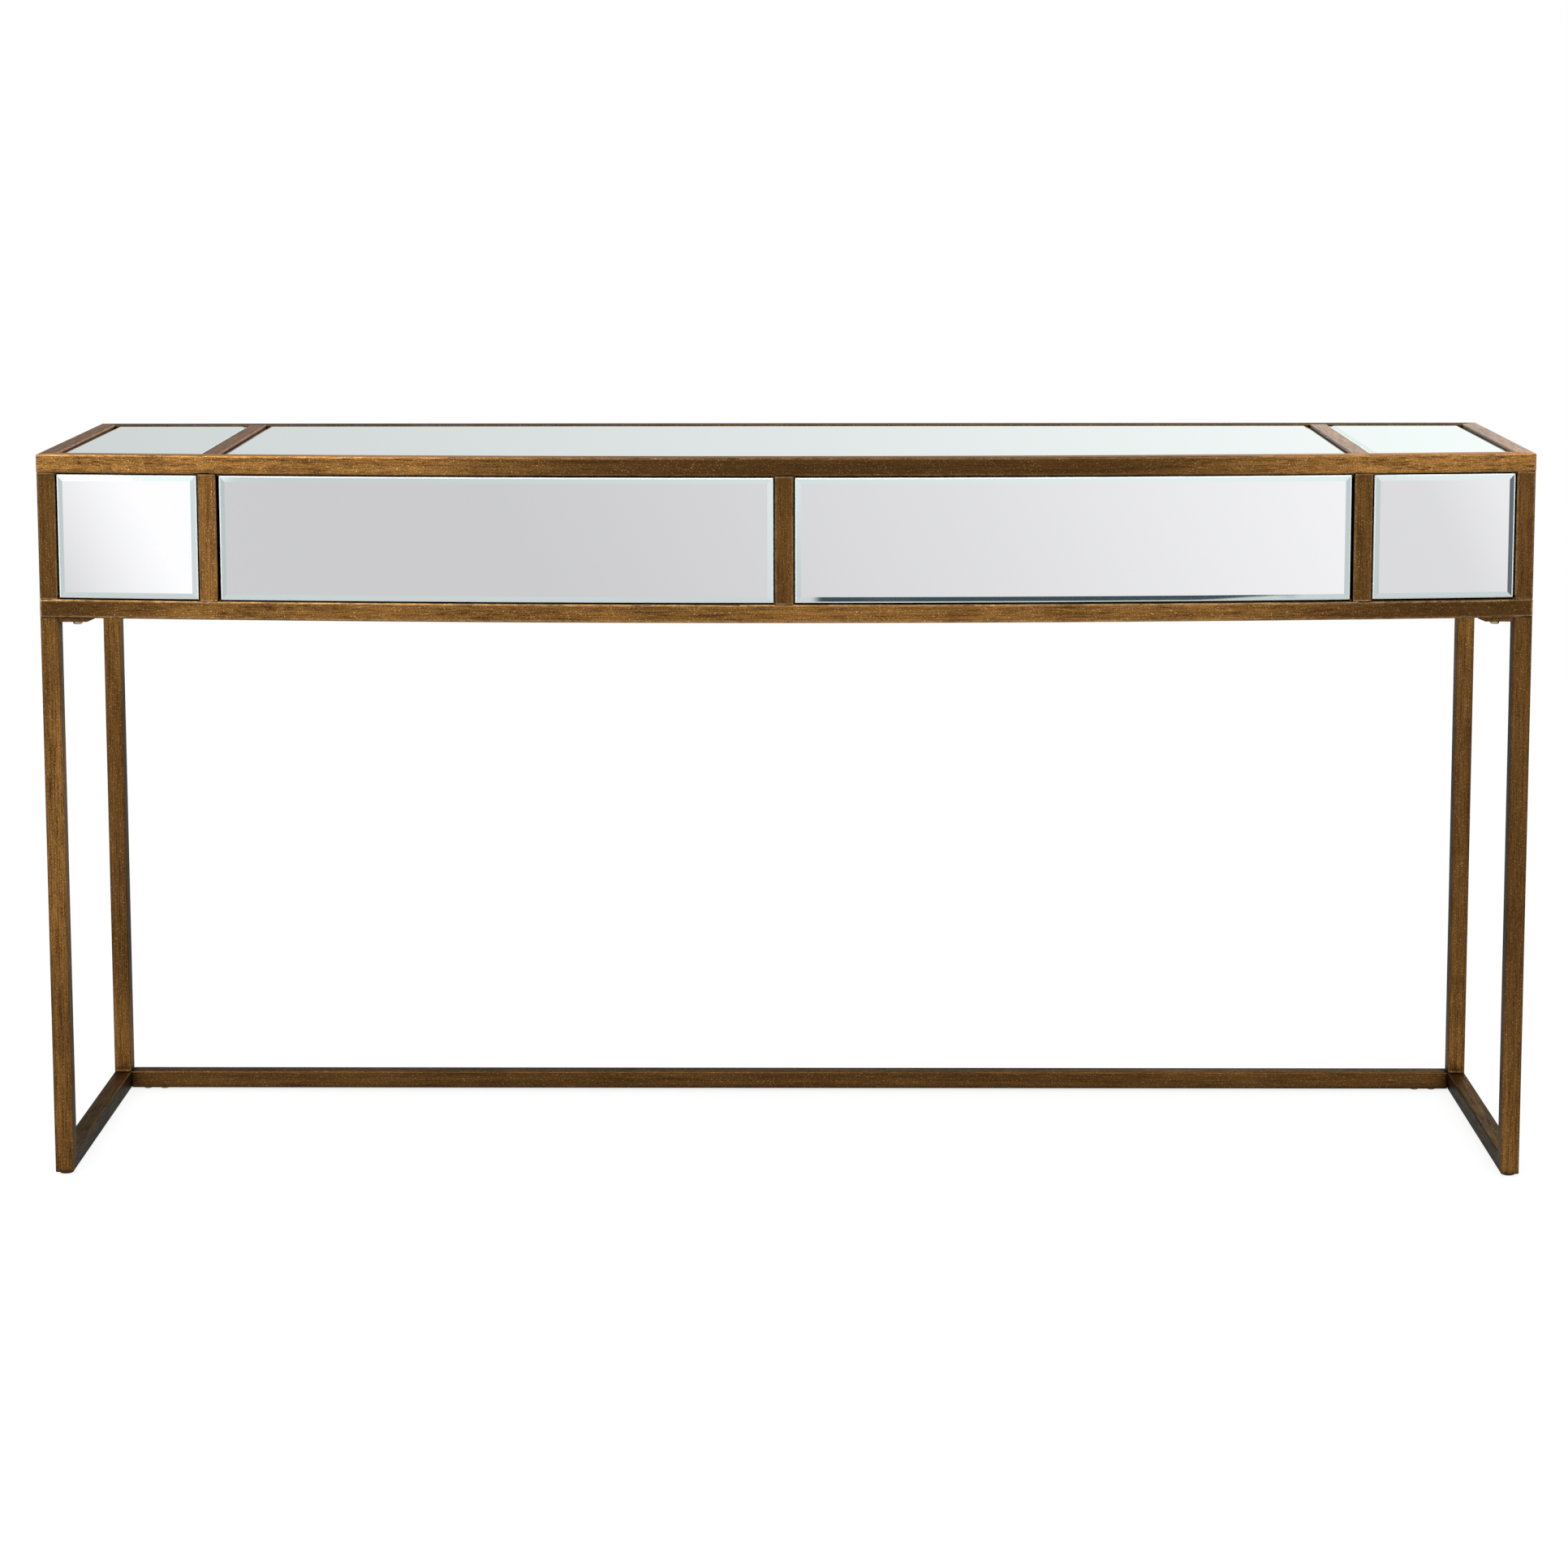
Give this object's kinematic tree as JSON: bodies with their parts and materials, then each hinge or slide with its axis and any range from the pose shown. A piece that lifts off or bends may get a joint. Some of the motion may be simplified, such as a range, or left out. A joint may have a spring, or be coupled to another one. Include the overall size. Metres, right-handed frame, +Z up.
{
  "type": "vanity table",
  "caption": "Bow-fronted mirrored vanity table with an antique brass square-tube frame, two push-to-open drawers, U-shaped side frames and a rear floor stretcher.",
  "frame": {"origin": "on the floor under the middle of the bounding box", "axes": "+X to the table's right as seen from the front, +Y to its straight back, +Z up; the bowed front faces -Y"},
  "size_m": [1.524, 0.37, 0.756],
  "materials": {
    "antique_brass_frame": "steel tube plated and brushed to an antique brass colour, darker at the welds",
    "mirror_glass": "clear silvered mirror with a ground and polished bevel",
    "backing_board": "MDF sealed black, behind the mirrors",
    "black_board": "painted MDF, fine satin",
    "drawer_wood": "pale lacquered plywood",
    "slide_steel": "zinc-plated rolled steel",
    "fastener_steel": "dark bronze plated screws",
    "glide_plastic": "black nylon"
  },
  "bodies": {
    "table": {"back_panel": "black_board", "back_posts": "antique_brass_frame", "bottom_panel": "black_board", "case_back_bottom_rail": "antique_brass_frame", "case_back_top_rail": "antique_brass_frame", "case_front_bottom_rail": "antique_brass_frame", "case_front_top_rail": "antique_brass_frame", "centre_stile": "antique_brass_frame", "dividers": "backing_board", "end_boards": "backing_board", "fixed_front_boards": "backing_board", "floor_stretcher": "antique_brass_frame", "glides": "glide_plastic", "left_back_leg": "antique_brass_frame", "left_bottom_end_rail": "antique_brass_frame", "left_cross_rail": "antique_brass_frame", "left_end_mirror": "mirror_glass", "left_floor_rail": "antique_brass_frame", "left_front_leg": "antique_brass_frame", "left_front_mirror": "mirror_glass", "left_front_post": "antique_brass_frame", "left_stile": "antique_brass_frame", "left_top_end_rail": "antique_brass_frame", "leg_nuts": "fastener_steel", "leg_screws": "fastener_steel", "leg_tabs": "antique_brass_frame", "right_back_leg": "antique_brass_frame", "right_bottom_end_rail": "antique_brass_frame", "right_cross_rail": "antique_brass_frame", "right_end_mirror": "mirror_glass", "right_floor_rail": "antique_brass_frame", "right_front_leg": "antique_brass_frame", "right_front_mirror": "mirror_glass", "right_front_post": "antique_brass_frame", "right_stile": "antique_brass_frame", "right_top_end_rail": "antique_brass_frame", "slide_cabinet_members": "slide_steel", "stretcher_screws": "fastener_steel", "stretcher_tongues": "antique_brass_frame", "support_tabs": "antique_brass_frame", "top_board_centre": "backing_board", "top_board_left": "backing_board", "top_board_right": "backing_board", "top_mirror_centre": "mirror_glass", "top_mirror_left": "mirror_glass", "top_mirror_right": "mirror_glass"},
    "left_drawer": {"left_drawer_mirror": "mirror_glass", "left_drawer_front": "backing_board", "left_drawer_sides": "drawer_wood", "left_drawer_back": "drawer_wood", "left_drawer_bottom": "drawer_wood", "left_slide_drawer_members": "slide_steel"},
    "left_slide_middle": {"left_slide_middles": "slide_steel"},
    "right_drawer": {"right_drawer_mirror": "mirror_glass", "right_drawer_front": "backing_board", "right_drawer_sides": "drawer_wood", "right_drawer_back": "drawer_wood", "right_drawer_bottom": "drawer_wood", "right_slide_drawer_members": "slide_steel"},
    "right_slide_middle": {"right_slide_middles": "slide_steel"}
  },
  "joints": [
    {"name": "left_drawer_slide", "type": "slide", "parent": "table", "child": "left_drawer", "axis": [0, -1, 0], "range_m": [-0.003, 0.25]},
    {"name": "left_slide_middle_travel", "type": "slide", "parent": "table", "child": "left_slide_middle", "axis": [0, -1, 0], "range_m": [-0.0015, 0.125]},
    {"name": "right_drawer_slide", "type": "slide", "parent": "table", "child": "right_drawer", "axis": [0, -1, 0], "range_m": [-0.003, 0.25]},
    {"name": "right_slide_middle_travel", "type": "slide", "parent": "table", "child": "right_slide_middle", "axis": [0, -1, 0], "range_m": [-0.0015, 0.125]}
  ],
  "couplings": [
    {"joint": "left_slide_middle_travel", "follows": "left_drawer_slide", "ratio": 0.5},
    {"joint": "right_slide_middle_travel", "follows": "right_drawer_slide", "ratio": 0.5}
  ]
}
